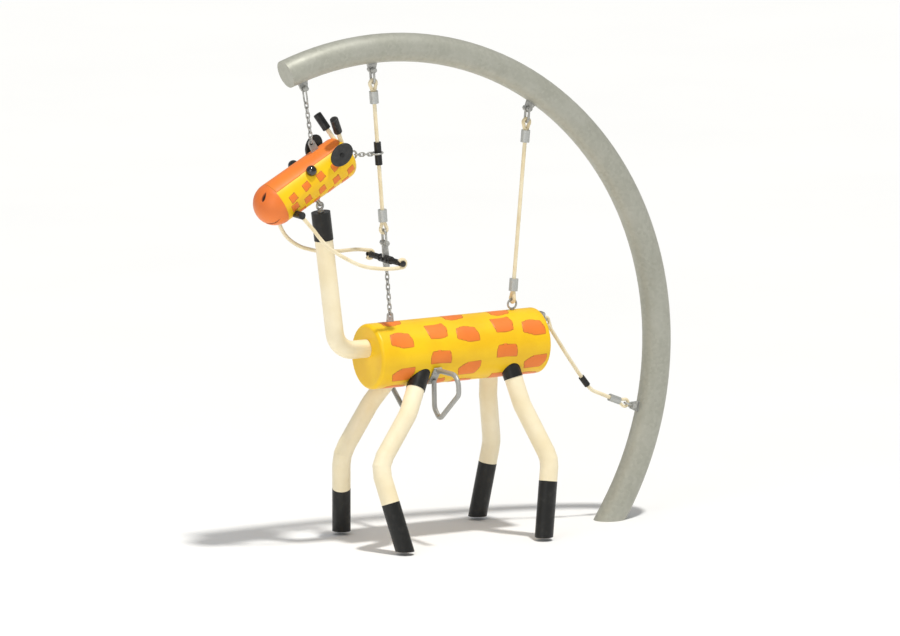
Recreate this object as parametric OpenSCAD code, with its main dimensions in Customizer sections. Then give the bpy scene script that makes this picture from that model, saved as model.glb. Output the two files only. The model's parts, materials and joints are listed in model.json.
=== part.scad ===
// Hanging giraffe rider for a playground: an arched steel post carries a giraffe on two ropes.
// Frame: origin at the centre of the post's foot on the ground, +Z up.
// The giraffe faces -X, and its left side is -Y.

/* [Arch post] */
// Radius of the arch's centre line
arch_radius = 1281; // [1200:1:1400]
// Height of the arch's centre of curvature above the ground
arch_centre_z = 714; // [650:1:780]
// Angle of the arch's free end, measured from +X
arch_end_angle = 109; // [108:1:114]
// Outer diameter of the post tube
post_d = 114.3; // [95:0.1:140]
// Wall of the post tube
post_wall = 4; // [2.5:0.5:8]

/* [Hanging lugs] */
// Distance from the arch's centre line in to the lug holes
lug_inset = 84; // [76:1:100]
// Thickness of the lug plates
lug_t = 10; // [6:1:14]
// Radius of a lug's round end
lug_r = 15; // [12:1:20]
// Arch angle of the head chain's lug
head_lug_angle = 106.4; // [105:0.1:108]
// Arch angle of the front rope's lug
front_lug_angle = 91.4; // [89:0.1:94]
// Arch angle of the rear rope's lug
rear_lug_angle = 55.2; // [53:0.1:57]
// Arch angle of the tail rope's lug
tail_lug_angle = -12.6; // [-14:0.1:-11]

/* [Ropes and chain] */
// Diameter of the two suspension ropes
rope_d = 16; // [12:1:18]
// Outer diameter of the pressed ferrules
ferrule_d = 36; // [30:1:40]
// Length of the pressed ferrules
ferrule_len = 49; // [40:1:60]
// Diameter of the chain's wire
chain_wire = 5.5; // [4:0.5:6]
// Distance from link to link
chain_pitch = 20.3; // [19:0.1:22]
// Diameter of the shackle pins
pin_d = 12; // [10:0.5:12]
// Diameter of the tail rope and the reins
cord_d = 14; // [10:1:16]

/* [Body] */
// Outer diameter of the body
body_d = 262; // [240:2:300]
// X of the body's front face
body_front_x = -1118; // [-1160:1:-1100]
// X of the body's rear face
body_rear_x = -343; // [-380:1:-330]
// Height of the body's axis
body_z = 759; // [740:1:790]
// Wall of the body and head shells
shell_wall = 4; // [3:0.5:8]
// Radius of the body's rounded ends
body_round = 15; // [8:1:24]

/* [Neck and legs] */
// Outer diameter of the neck and leg tubes
limb_d = 73; // [60:1:78]
// Height of the neck where it leaves the body, above the body's axis
neck_rise = 34; // [20:1:44]
// Lean of the neck, forward from upright
neck_lean = 7.3; // [4:0.1:10]
// Bend radius of the neck's centre line
neck_bend = 85; // [60:1:110]
// Length of the neck's black top sleeve
neck_sleeve_len = 114; // [80:1:150]
// Gap between the boots and the ground
ground_gap = 14; // [5:1:25]

/* [Head] */
// Outer diameter of the head
head_d = 172; // [150:1:190]
// Length of the head from the muzzle's centre to the rear face
head_len = 370; // [340:1:400]
// Nose-down pitch of the head's axis
head_pitch = 28; // [24:0.5:32]
// Rounding radius of the head's rear edge
head_round = 40; // [20:1:50]
// Radius of the eyeballs
eye_r = 22; // [16:1:26]
// Diameter of the horn tips
horn_tip_d = 34; // [26:1:40]

/* [Handle and stirrups] */
// Half length of the handle bar
handle_half = 138; // [110:1:160]
// Outer diameter of the handle grips
grip_d = 24; // [20:1:32]
// Diameter of the stirrup rod
stirrup_d = 20; // [14:1:24]
// X of the stirrups
stirrup_x = -868; // [-880:1:-820]

/* [Hidden] */
$fn = 64;
EPS = 0.01;
gap = 0.3;          // between pieces that touch on the real object
fit = 0.08;         // radial running fit of a pin in its ears
seat = 0.1;         // radial seat of a sleeve or ferrule on its rope or tube
rock = 0.8;         // radial play of a pin that rocks in its lug

// places on the arch
foot_rise = 40;     // straight stub of the post below the arch
foot_angle = -asin((arch_centre_z - foot_rise) / arch_radius);
arch_cx = -foot_rise * tan(foot_angle) - arch_radius * cos(foot_angle);
function on_arch(angle, inset) = [
    arch_cx + (arch_radius - inset) * cos(angle), 0,
    arch_centre_z + (arch_radius - inset) * sin(angle)
];
head_top = on_arch(head_lug_angle, lug_inset);
front_top = on_arch(front_lug_angle, lug_inset);
rear_top = on_arch(rear_lug_angle, lug_inset);
tail_post = on_arch(tail_lug_angle, lug_inset);

foot_plate_t = 12;
foot_lap = 1;

// shackles: span is between leg centres, reach is from the pin to the bow's centre line
shackle_wire = 10;
shackle_span = 28;
shackle_reach = 54;
ear_t = 12;
ear_r = 11;
pin_half = shackle_span / 2 + ear_t / 2 + gap;
pin_head_r = 9;
pin_head_t = 5;

// rope eyes
eye_rope = 15;
eye_hole_w = 14;
eye_hole_l = 22;
eye_len = eye_hole_l + 2 * eye_rope;

// chain links
link_in_w = 8.5;
function link_reach(pitch) = pitch + gap + chain_wire;
function chain_span(n, pitch) = (n - 1) * pitch + link_reach(pitch);
link_hole_r = 5.5;
link_rest = 0.9;    // a round link end on a square-edged plate
link_seat = link_hole_r - chain_wire / 2 - link_rest;
tab_t = 5;
head_lug_t = 5.4;

// body
body_r = body_d / 2;
body_len = body_rear_x - body_front_x;
limb_r = limb_d / 2;
cap_depth = 20;

// suspension: the two hangers end on the body's front lug and near its rear eye
front_low = [-1012, 0, body_z + body_r + 28];
rear_low = [-452, 0, body_z + body_r + 24];
front_len = norm(front_top - front_low);
rear_len = norm(rear_top - rear_low);
function lean(a, b) = atan2(b[0] - a[0], a[2] - b[2]);
front_lean = lean(front_top, front_low);
rear_lean = lean(rear_top, rear_low);

// stations down the front hanger, measured from its top pin
top_eye = shackle_reach - shackle_wire / 2 - gap + eye_hole_l / 2;
top_ferrule = top_eye + eye_len / 2 + 1;
front_links = 9;
tab_hole = front_len - chain_span(front_links, chain_pitch);
handle_at = tab_hole - 40;
low_pin = handle_at - 65;
low_eye = low_pin - shackle_reach + shackle_wire / 2 + gap - eye_hole_l / 2;
low_ferrule = low_eye - eye_len / 2 - 1 - ferrule_len;
sleeve_at = 293;
sleeve_len = 92;
sleeve_d = 29;
ring_at = sleeve_at + 44;
ring_wire = 7;
ring_r = sleeve_d / 2 + chain_wire + 4;
ring_shift = ring_r - ring_wire / 2 - sleeve_d / 2 - gap;

// stations down the rear hanger
body_ring_r = 19;
body_ring_wire = 8;
rear_low_eye = rear_len - body_ring_r + body_ring_wire / 2 + gap - eye_hole_l / 2;
rear_ferrule = rear_low_eye - eye_len / 2 - 1 - ferrule_len;

// neck: from the body up to the pivot ring below the head
neck_z = body_z + neck_rise;
neck_top = [-1328, 0, 1360];
neck_corner = [neck_top[0] + (neck_top[2] - neck_z) * tan(neck_lean), 0, neck_z];
neck_inner_x = body_front_x + 100;
neck_dir = [-sin(neck_lean), 0, cos(neck_lean)];
pivot_rise = 27;
neck_pivot = neck_top + pivot_rise * neck_dir;
pivot_wire = 10;
pivot_ring_r = 13;
pivot_link = pivot_wire + gap;

// head frame: x runs back along the head's axis, z is up, origin at the muzzle's centre
head_r = head_d / 2;
head_tube_end = head_len - head_round;
head_pivot_x = 169;
head_pivot_z = head_r + pivot_wire / 2 + 1.5 + 2 * pivot_ring_r;
head_lug_x = 254;
head_lug_z = head_r + 36;
head_lug_hole = 9;
head_lug_r = 14.5;    // the chain's last links clear its top
function head_point(x, z) = neck_pivot + [
    (x - head_pivot_x) * cos(head_pitch) - (z + head_pivot_z) * sin(head_pitch), 0,
    (x - head_pivot_x) * sin(head_pitch) + (z + head_pivot_z) * cos(head_pitch)
];
head_low = head_point(head_lug_x, head_lug_z);
head_chain_len = norm(head_top - head_low);
head_chain_lean = lean(head_top, head_low);
head_links = 8;
head_shackle_wire = 7;
head_shackle_span = 26;
head_bow_seat = head_shackle_wire / 2 + chain_wire / 2 + gap;
head_bow = head_chain_len - chain_span(head_links, chain_pitch) + head_bow_seat;
ear_x = 302;
ear_y = 112;
ear_z = 55;
ear_yaw = 14;
ear_plate_t = 14;
boss_x = 36;
boss_z = -63;
boss_r = 15;
boss_y = 112;
rear_ring_r = 15.5;
rear_ring_wire = 8;
rear_ring_z = -22;

// tether from the ring on the front rope to the back of the head
front_dir = (front_low - front_top) / front_len;
ring_front = front_top + ring_at * front_dir
    - (ring_shift + ring_r) * [cos(front_lean), 0, sin(front_lean)];
tether_links = 4;
head_ring_centre = head_point(head_len + rear_ring_wire / 2 + 2 + rear_ring_r, rear_ring_z);
head_ring_edge = head_ring_centre + rear_ring_r * unit(ring_front - head_ring_centre);
tether_reach = norm(ring_front - head_ring_edge)
    + ring_wire / 2 + rear_ring_wire / 2 + chain_wire + 2 * gap;
tether_pitch = round((tether_reach - gap - chain_wire) / tether_links * 50) / 50;
tether_lean = lean(ring_front, head_ring_edge);

// legs: hip inside the body, thigh bend, knee and foot, for the left side's mirror image
front_leg = [[-918, 85, 701], [-1016, 150, 542], [-1148, 152, 345], [-1090, 254, ground_gap]];
rear_leg = [[-513, 75, 697], [-484, 135, 530], [-412, 230, 318], [-458, 264, ground_gap]];
front_boot_share = 0.56;
rear_boot_share = 0.72;
knee_bend = 106;
collar_start = 112;
collar_t = 2;

// tail
tail_hip = [body_rear_x + 25, 0, body_z + 103];
tail_wire = 8;
tail_span = 24;
tail_reach = 36;
tail_pin_d = 10;
tail_eye_rope = 13;
tail_eye_hole = 18;
tail_bend = [-90, 0, 533];
tail_upper_lean = lean(tail_hip, tail_bend);
tail_upper_route = [[-287, 0, 818], [-250, 0, 762], [-215, 0, 709], [-180, 0, 658],
                    [-150, 0, 615], [-122, 0, 577]];
tail_lower_route = [[-108, 0, 559], [-100, 0, 549], [-90, 0, 539], [-77, 0, 529], [-60, 0, 521],
                    [-38, 0, 512], [-14, 0, 501]];
tail_sleeve_from = [-132, 0, 590];
tail_sleeve_to = [-104, 0, 554];
tail_ferrule_len = 50;
tail_ferrule_d = 30;
tail_low_len = norm(tail_lower_route[6] - tail_post);
tail_low_lean = lean(tail_post, tail_lower_route[6]);

// reins, from the head's boss back under the handle bar
handle_centre = front_top + handle_at * front_dir;
boss_centre = head_point(boss_x, boss_z);
bar_r = 8;
rein_wraps = 7;
rein_turn = 240;
rein_wrap = (bar_r + cord_d / 2 + gap) / cos(rein_turn / rein_wraps / 2);
rein_left_route = [[-1464, -103, 1360], [-1443, -106, 1335], [-1420, -108, 1309],
                   [-1398, -110, 1280], [-1375, -112, 1254], [-1352, -114, 1233],
                   [-1327, -116, 1215], [-1303, -118, 1199], [-1277, -119, 1184],
                   [-1250, -121, 1169], [-1220, -122, 1155], [-1190, -124, 1145],
                   [-1158, -125, 1138], [-1125, -127, 1133], [-1092, -128, 1130],
                   [-1060, -129, 1129]];
rein_right_route = [[-1472, 103, 1356.8], [-1463, 106, 1330], [-1450, 109, 1297],
                    [-1430, 111, 1264], [-1406, 113, 1239], [-1378, 115, 1219],
                    [-1348, 116, 1203], [-1315, 118, 1192], [-1280, 119, 1182],
                    [-1242, 120, 1176], [-1204, 122, 1173], [-1165, 124, 1171],
                    [-1128, 126, 1171], [-1092, 128, 1170], [-1060, 129, 1166]];

// stirrup, as Y and Z of the left one's mirror image
plate_angle = 38;
stirrup_route = [[99.5, 659], [104, 545], [146, 508], [296, 628], [296, 706], [131, 702]];
plate_h = 88;
plate_w = 34;
plate_t = 6;

// ---- tubes swept along a path with mitred corners ----

function unit(v) = v / norm(v);
function any_side(d) = unit(abs(d[1]) < 0.9 ? cross(d, [0, 1, 0]) : cross(d, [1, 0, 0]));
function seg(p, i) = unit(p[i + 1] - p[i]);
function mitre(p, i, first, last) =
    i == 0 ? (first == undef ? seg(p, 0) : first)
    : i == len(p) - 1 ? (last == undef ? seg(p, i - 1) : last)
    : unit(seg(p, i - 1) + seg(p, i));
function carried(u, m) = u - 2 * (u * m) * m;
function sides(p, u, i = 0) =
    i >= len(p) - 2 ? [u] : concat([u], sides(p, carried(u, mitre(p, i + 1)), i + 1));
function ring_points(p, r, n, i, side, first, last) =
    let (d = seg(p, max(i - 1, 0)), u = side[max(i - 1, 0)], v = cross(d, u),
         m = mitre(p, i, first, last))
    [for (k = [0 : n - 1])
        let (w = r * (cos(360 * k / n) * u + sin(360 * k / n) * v))
        p[i] + w - (w * m) / (d * m) * d];

module tube(p, r, n, first = undef, last = undef) {
    side = sides(p, any_side(seg(p, 0)));
    rings = [for (i = [0 : len(p) - 1]) each ring_points(p, r, n, i, side, first, last)];
    top = (len(p) - 1) * n;
    walls = [for (i = [0 : len(p) - 2], k = [0 : n - 1])
        [i * n + k, (i + 1) * n + k, (i + 1) * n + (k + 1) % n, i * n + (k + 1) % n]];
    ends = [[for (k = [0 : n - 1]) k], [for (k = [n - 1 : -1 : 0]) top + k]];
    polyhedron(rings, concat(walls, ends), convexity = 6);
}

// a corner of a path replaced by an arc of radius r in steps pieces
function corner(a, b, c, r, steps) =
    let (d = unit(b - a), e = unit(c - b), turn = acos(min(1, d * e)),
         back = r * tan(turn / 2), side = unit(e - d), mid = b + side * r / cos(turn / 2))
    turn < 0.5 ? [b] : [for (k = [0 : steps])
        let (t = turn * (k / steps - 0.5), out = -side, along = unit(d + e))
        mid + r * (cos(t) * out + sin(t) * along)];
function rounded(p, r, steps) = concat(
    [p[0]],
    [for (i = [1 : len(p) - 2])
        each corner(p[i - 1], p[i], p[i + 1], is_list(r) ? r[i - 1] : r, steps)],
    [p[len(p) - 1]]);
function flip(p) = [for (q = p) [q[0], -q[1], q[2]]];

// ---- frames ----

module on_front() translate(front_top) rotate([0, -front_lean, 0]) children();
module on_rear() translate(rear_top) rotate([0, -rear_lean, 0]) children();
module at_neck() translate(neck_top) rotate([0, -neck_lean, 0]) children();
module at_head()
    translate(neck_pivot) rotate([0, -head_pitch, 0])
        translate([-head_pivot_x, 0, head_pivot_z]) children();
module on_body() translate([0, 0, body_z]) children();
module along_x(x) translate([x, 0, 0]) rotate([0, 90, 0]) children();
module cross_bar(r, half) rotate([90, 0, 0]) cylinder(r = r, h = 2 * half, center = true);
module both_sides() for (s = [-1, 1]) mirror([0, s < 0 ? 1 : 0, 0]) children();

// ---- shared hardware ----

// a loop of round bar in the XZ plane, long along Z
module loop(hole_l, hole_w, wire) {
    bend = (hole_w + wire) / 2;
    half = (hole_l - hole_w) / 2;
    for (a = [0, 180]) rotate([0, a, 0]) {
        translate([0, 0, half]) rotate([90, 0, 0])
            rotate_extrude(angle = 180) translate([bend, 0]) circle(d = wire);
        if (half > 0) translate([bend, 0, -half]) cylinder(d = wire, h = 2 * half);
    }
}

// count links down from the centre of the first link's top wire
module chain(count, pitch, first_turn)
    for (i = [0 : count - 1])
        translate([0, 0, -link_reach(pitch) / 2 - i * pitch])
            rotate([0, 0, (i % 2) * 90 + first_turn])
                loop(pitch + gap, link_in_w, chain_wire);

// pin along Y at the origin, bow below
module shackle(wire, span, reach, hole) {
    for (s = [-1, 1]) translate([0, s * span / 2, 0]) difference() {
        union() {
            rotate([90, 0, 0]) cylinder(r = hole / 2 + 5, h = wire + 2, center = true);
            translate([0, 0, -(reach - span / 2)]) cylinder(d = wire, h = reach - span / 2);
        }
        cross_bar(hole / 2, wire + 5);
    }
    translate([0, 0, -(reach - span / 2)]) rotate([0, 0, 90]) rotate([-90, 0, 0])
        rotate_extrude(angle = 180) translate([span / 2, 0]) circle(d = wire);
}

module shackle_pin(d, half) {
    cross_bar(d / 2, half + EPS);
    translate([0, -half - pin_head_t / 2, 0]) cross_bar(d / 2 + 3, pin_head_t / 2);
    translate([0, half + pin_head_t / 2, 0]) rotate([90, 0, 0])
        cylinder(r = d / 2 + 4, h = pin_head_t, center = true, $fn = 6);
}

// rope with an eye at each end, and a ferrule behind each eye
module rope_with_eyes(from, to, turn_low) {
    translate([0, 0, -from]) loop(eye_hole_l, eye_hole_w, eye_rope);
    translate([0, 0, -to]) rotate([0, 0, turn_low]) loop(eye_hole_l, eye_hole_w, eye_rope);
    translate([0, 0, -to + eye_len / 2 - 4]) cylinder(d = rope_d, h = to - from - eye_len + 8);
}

module ferrule(at, len, d, hole)
    translate([0, 0, -at - len]) difference() {
        cylinder(d = d, h = len);
        translate([0, 0, -1]) cylinder(d = hole, h = len + 2);
    }

module lug(angle) {
    reach = lug_inset - post_d / 2 - gap;
    translate([arch_cx, 0, arch_centre_z]) rotate([0, -angle, 0])
        translate([arch_radius - lug_inset, lug_t / 2, 0]) rotate([90, 0, 0])
            linear_extrude(lug_t) difference() {
                union() {
                    circle(r = lug_r);
                    polygon([[0, -lug_r], [reach, -lug_r - 7], [reach, lug_r + 7], [0, lug_r]]);
                }
                circle(r = pin_d / 2 + rock);
            }
}

// ---- post ----

// a straight length of the post's foot, let into the arch by foot_lap
module foot_stub(d, drop)
    translate(on_arch(foot_angle, 0)) rotate([0, -foot_angle, 0]) translate([0, 0, -drop])
        cylinder(d = d, h = drop + foot_lap);

module arch_post() color("#a9a99c") {
    translate([arch_cx, 0, arch_centre_z]) rotate([90, 0, 0]) rotate([0, 0, foot_angle])
        rotate_extrude(angle = arch_end_angle - foot_angle, $fn = 120)
            translate([arch_radius, 0]) difference() {
                circle(d = post_d, $fn = 48);
                circle(d = post_d - 2 * post_wall, $fn = 48);
            }
    difference() {
        foot_stub(post_d - EPS, 3 * foot_rise);
        foot_stub(post_d - 2 * post_wall + EPS, 4 * foot_rise);
        translate([-post_d, -post_d, -post_d]) cube([2 * post_d, 2 * post_d, post_d]);
    }
}

module arch_end_cap() color("#b4b4a8")
    translate(on_arch(arch_end_angle, 0)) rotate([0, -arch_end_angle, 0]) {
        cylinder(d = post_d, h = 5);
        translate([0, 0, -14]) cylinder(d = post_d - 2 * post_wall - 1, h = 14 + EPS);
    }

module foot_plate() color("#a0a094") intersection() {
    foot_stub(post_d - 2 * post_wall - seat, 3 * foot_rise);
    translate([-post_d, -post_d, 0]) cube([2 * post_d, 2 * post_d, foot_plate_t]);
}

module hanging_lugs() color("#9c9c90") {
    lug(head_lug_angle);
    lug(front_lug_angle);
    lug(rear_lug_angle);
}

module tail_lug() color("#9c9c90") lug(tail_lug_angle);

module hanger_pins() color("#b8b8b0") {
    translate(front_top) shackle_pin(pin_d, pin_half);
    translate(rear_top) shackle_pin(pin_d, pin_half);
}

// ---- front hanger ----

module front_top_shackle() color("#8f9490") on_front()
    shackle(shackle_wire, shackle_span, shackle_reach, pin_d + 2 * fit);

module front_rope() color("#efe2bd") on_front() rope_with_eyes(top_eye, low_eye, 0);

module front_ferrules() color("#a3a7a1") on_front() {
    ferrule(top_ferrule, ferrule_len, ferrule_d, rope_d + 2 * seat);
    ferrule(low_ferrule, ferrule_len, ferrule_d, rope_d + 2 * seat);
}

module rope_sleeve() color("#2b2b29") on_front()
    ferrule(sleeve_at, sleeve_len, sleeve_d, rope_d + 2 * seat);

module sleeve_ring() color("#c8cac6") on_front() translate([-ring_shift, 0, -ring_at])
    rotate_extrude() translate([ring_r, 0]) circle(d = ring_wire);

module lower_shackle() color("#8f9490") on_front() translate([0, 0, -low_pin]) {
    rotate([180, 0, 0]) shackle(shackle_wire, shackle_span, shackle_reach, pin_d + 2 * fit);
    shackle_pin(pin_d, pin_half);
}

module tab(r, hole_r, len, t) rotate([90, 0, 0]) linear_extrude(t, center = true) difference() {
    union() {
        circle(r = r);
        polygon([[-r, 0], [-r - 2, -len], [r + 2, -len], [r, 0]]);
    }
    circle(r = hole_r);
}

module handle_core() color("#3a3a38") on_front() {
    translate([0, 0, -handle_at]) {
        cross_bar(16, 44);
        cross_bar(bar_r, handle_half);
        for (s = [-1, 1]) translate([0, s * handle_half, 0]) cross_bar(bar_r + 4, 2);
    }
    translate([0, 0, -low_pin]) tab(12, pin_d / 2 + fit, handle_at - low_pin, 8);
    translate([0, 0, -tab_hole + link_seat]) rotate([0, 180, 0])
        tab(13, link_hole_r, tab_hole - link_seat - handle_at, tab_t);
}

module handle_grips() color("#232322") on_front() translate([0, 0, -handle_at]) both_sides()
    translate([0, 44.3 + 74 / 2, 0]) difference() {
        cross_bar(grip_d / 2, 74 / 2);
        cross_bar(bar_r + seat, 74 / 2 + 1);
    }

module front_chain() color("#a8aca6") on_front() translate([0, 0, -tab_hole])
    chain(front_links, chain_pitch, 90);

// ---- rear hanger ----

module rear_top_shackle() color("#8f9490") on_rear()
    shackle(shackle_wire, shackle_span, shackle_reach, pin_d + 2 * fit);

module rear_rope() color("#efe2bd") on_rear() rope_with_eyes(top_eye, rear_low_eye, 90);

module rear_ferrules() color("#a3a7a1") on_rear() {
    ferrule(top_ferrule, ferrule_len, ferrule_d, rope_d + 2 * seat);
    ferrule(rear_ferrule, ferrule_len, ferrule_d, rope_d + 2 * seat);
}

// ---- body ----

module leg_hole(leg, extra)
    for (s = [-1, 1]) {
        hip = [leg[0][0], s * leg[0][1], leg[0][2]];
        bend = [leg[1][0], s * leg[1][1], leg[1][2]];
        d = unit(hip - bend);
        translate(bend) rotate([0, acos(d[2]), atan2(d[1], d[0])])
            cylinder(r = limb_r + extra, h = norm(hip - bend) + 25);
    }

module body_shell() color("#f6ce14") difference() {
    on_body() along_x(body_front_x + cap_depth)
        cylinder(r = body_r, h = body_len - 2 * cap_depth);
    on_body() along_x(body_front_x)
        cylinder(r = body_r - shell_wall, h = body_len);
    leg_hole(front_leg, 0.5);
    leg_hole(rear_leg, 0.5);
}

// a dished end with a rounded rim, closed at z = 0 and open at z = depth
module end_cap(r, round, depth) rotate_extrude() difference() {
    union() {
        translate([r - round, round]) intersection() {
            circle(r = round);
            translate([0, -round]) square(round);
        }
        square([r - round, depth]);
        translate([0, round]) square([r, depth - round]);
    }
    translate([0, shell_wall]) square([r - round, depth]);
    translate([0, round]) square([r - shell_wall, depth]);
}

module body_front_cap() color("#d9a915") difference() {
    on_body() along_x(body_front_x) end_cap(body_r, body_round, cap_depth);
    translate([0, 0, neck_z]) along_x(body_front_x - 1) cylinder(r = limb_r + gap, h = 30);
}

module body_rear_cap() color("#d9a915") on_body() along_x(body_rear_x) mirror([0, 0, 1])
    end_cap(body_r, body_round, cap_depth);

module body_frame() color("#77776f") difference() {
    union() {
        on_body() translate([0, 0, -60]) along_x(body_front_x + 70)
            cylinder(d = 48, h = body_len - 140);
        for (x = [body_front_x + 70, body_rear_x - 78]) on_body() along_x(x)
            cylinder(r = body_r - shell_wall - gap, h = 8);
    }
    translate([0, 0, neck_z]) along_x(body_front_x) cylinder(r = limb_r + gap, h = 200);
}

function lerp(a, b, t) = a + (b - a) * t;
function boot_top(leg, share) = lerp(leg[3], leg[2], share);
function shin_dir(leg) = unit(leg[3] - leg[2]);

module leg(points, share, side) {
    path = rounded(points, knee_bend, 2);
    top = boot_top(points, share) - shin_dir(points) * seat;
    whole = concat([for (i = [0 : len(path) - 2]) path[i]], [top]);
    tube(side < 0 ? flip(whole) : whole, limb_r, 32);
}

module boot(points, share, side) {
    path = [boot_top(points, share), points[3]];
    tube(side < 0 ? flip(path) : path, limb_r + 0.5, 32, undef, [0, 0, -1]);
}

module front_left_leg() color("#f3e4b6") leg(front_leg, front_boot_share, -1);
module front_right_leg() color("#f3e4b6") leg(front_leg, front_boot_share, 1);
module rear_left_leg() color("#f3e4b6") leg(rear_leg, rear_boot_share, -1);
module rear_right_leg() color("#f3e4b6") leg(rear_leg, rear_boot_share, 1);

module front_boots() color("#262624") {
    boot(front_leg, front_boot_share, -1);
    boot(front_leg, front_boot_share, 1);
}

module rear_boots() color("#262624") {
    boot(rear_leg, rear_boot_share, -1);
    boot(rear_leg, rear_boot_share, 1);
}

module hip_collar(points, s) {
    hip = [points[0][0], s * points[0][1], points[0][2]];
    bend = [points[1][0], s * points[1][1], points[1][2]];
    d = unit(hip - bend);
    translate(bend) rotate([0, acos(d[2]), atan2(d[1], d[0])])
        translate([0, 0, collar_start]) difference() {
            cylinder(r = limb_r + collar_t, h = 90);
            translate([0, 0, -1]) cylinder(r = limb_r + seat, h = 92);
        }
}

module hip_collars() color("#141413") difference() {
    for (points = [front_leg, rear_leg], s = [-1, 1]) hip_collar(points, s);
    on_body() along_x(body_front_x) cylinder(r = body_r + gap, h = body_len);
}

module neck_tube() color("#f3e4b6") {
    path = rounded([[neck_inner_x, 0, neck_z], neck_corner, neck_top - 12 * neck_dir],
        neck_bend, 8);
    tube(path, limb_r, 32);
}

module neck_sleeve() color("#2b2b29") at_neck() difference() {
    translate([0, 0, -neck_sleeve_len]) cylinder(r = limb_r + 2, h = neck_sleeve_len);
    translate([0, 0, -neck_sleeve_len - 1])
        cylinder(r = limb_r + seat, h = neck_sleeve_len - 7);
}

module neck_eye() color("#a8aca6") at_neck() {
    ring_z = pivot_rise + pivot_link - pivot_ring_r;
    translate([0, 0, ring_z])
        loop(2 * pivot_ring_r - pivot_wire, 2 * pivot_ring_r - pivot_wire, pivot_wire);
    translate([0, 0, gap]) cylinder(d = pivot_wire + 2, h = ring_z - pivot_ring_r);
    translate([0, 0, gap]) cylinder(d = 26, h = 4);
}

module stirrup(side) {
    flat = [for (q = stirrup_route) [stirrup_x, q[0], q[1]]];
    path = rounded(flat, [38, 24, 24, 50], 5);
    mirror([0, side < 0 ? 1 : 0, 0]) {
        tube(path, stirrup_d / 2, 16);
        on_body() rotate([-plate_angle, 0, 0]) translate([stirrup_x, body_r + gap, 0])
            translate([-plate_w / 2, 0, -plate_h / 2]) cube([plate_w, plate_t, plate_h]);
    }
}

module left_stirrup() color("#9a9a92") stirrup(-1);
module right_stirrup() color("#9a9a92") stirrup(1);

module body_front_lug() color("#a3a7a1") difference() {
    translate(front_low - [0, 0, link_seat]) tab(14, link_hole_r, 30, tab_t);
    on_body() along_x(body_front_x) cylinder(r = body_r + seat, h = body_len);
}

module body_rear_eye() color("#a8aca6") difference() {
    translate([rear_low[0], 0, rear_low[2]]) {
        loop(2 * body_ring_r - body_ring_wire, 2 * body_ring_r - body_ring_wire, body_ring_wire);
        translate([0, 0, -2 * body_ring_r]) cylinder(d = 12, h = body_ring_r + 3);
    }
    on_body() along_x(body_front_x) cylinder(r = body_r + seat, h = body_len);
}

module tail_socket() color("#a3a7a1") translate(tail_hip) rotate([0, 90, 0])
    tab(11, tail_pin_d / 2 + rock, tail_hip[0] - body_rear_x - seat, 8);

module rein(route, side, turn) {
    wrap = [for (k = [0 : rein_wraps])
        let (a = turn * (-100 + k * rein_turn / rein_wraps))
        handle_centre + [rein_wrap * cos(a), side * (128 + k * 0.1), rein_wrap * sin(a)]];
    tube(concat(route, wrap), cord_d / 2, 10);
}

module reins() color("#efe2bd") {
    rein(rein_left_route, -1, 1);
    rein(rein_right_route, 1, -1);
}

// ---- head ----

module head_tube(r, from, to) along_x(from) cylinder(r = r, h = to - from);

module head_shell() color("#f6ce14") at_head() difference() {
    head_tube(head_r, 0, head_tube_end);
    head_tube(head_r - shell_wall, -1, head_tube_end + 1);
}

module muzzle() color("#e8733a") at_head() along_x(0) mirror([0, 0, 1])
    rotate_extrude() intersection() {
        difference() {
            circle(r = head_r);
            circle(r = head_r - shell_wall);
        }
        square([head_r, head_r]);
    }

module head_cap_form(extra) rotate_extrude() {
    translate([head_r - head_round, 0]) intersection() {
        circle(r = head_round + extra);
        square([head_round + extra, head_round + extra]);
    }
    square([head_r - head_round, head_round + extra]);
}

module head_rear_cap() color("#f6ce14") at_head() along_x(head_tube_end) difference() {
    head_cap_form(0);
    translate([0, 0, -EPS]) head_cap_form(-shell_wall);
}

module eyes() color("#0c0c0c") at_head() difference() {
    both_sides() translate([172, 72, 56]) sphere(r = eye_r);
    head_tube(head_r + seat, 0, head_tube_end);
}

module ears() color("#1c1c1b") at_head() both_sides() translate([ear_x, ear_y, ear_z])
    rotate([0, 0, ear_yaw]) rotate([90, 0, 0]) linear_extrude(ear_plate_t, center = true)
        difference() {
            hull() {
                translate([5, 4]) circle(r = 41, $fn = 32);
                translate([-10, -8]) circle(r = 35, $fn = 32);
            }
            circle(r = 4.3);
        }

module ear_bolts() color("#111111") at_head() difference() {
    both_sides() translate([ear_x, ear_y, ear_z]) rotate([0, 0, ear_yaw]) rotate([90, 0, 0]) {
        cylinder(r = 4, h = ear_plate_t + 2, center = true);
        translate([0, 0, ear_plate_t / 2 + gap]) cylinder(r = 11, h = 60);
        translate([0, 0, -ear_plate_t / 2 - gap - 4]) cylinder(r = 8, h = 4);
    }
    head_tube(head_r + seat, 0, head_tube_end);
}

horn_base = [360, 26, 60];
horn_dir = unit([-0.02, 0.34, 1]);
horn_tip_at = 56;
horn_tip_len = 74;
module horn_frame() both_sides() translate(horn_base)
    rotate([0, acos(horn_dir[2]), atan2(horn_dir[1], horn_dir[0])]) children();

module horn_stalks() color("#e8cf9c") at_head() difference() {
    horn_frame() cylinder(d = 18, h = horn_tip_at + 40);
    along_x(head_tube_end) head_cap_form(seat);
}

module horn_tips() color("#2b2b29") at_head() horn_frame() translate([0, 0, horn_tip_at])
    rotate_extrude() difference() {
        union() {
            translate([0, 5]) square([horn_tip_d / 2, horn_tip_len - 10]);
            square([horn_tip_d / 2 - 5, horn_tip_len]);
            for (z = [5, horn_tip_len - 5]) translate([horn_tip_d / 2 - 5, z]) circle(r = 5);
        }
        translate([0, -1]) square([9 + seat, 41.2]);
    }

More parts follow.
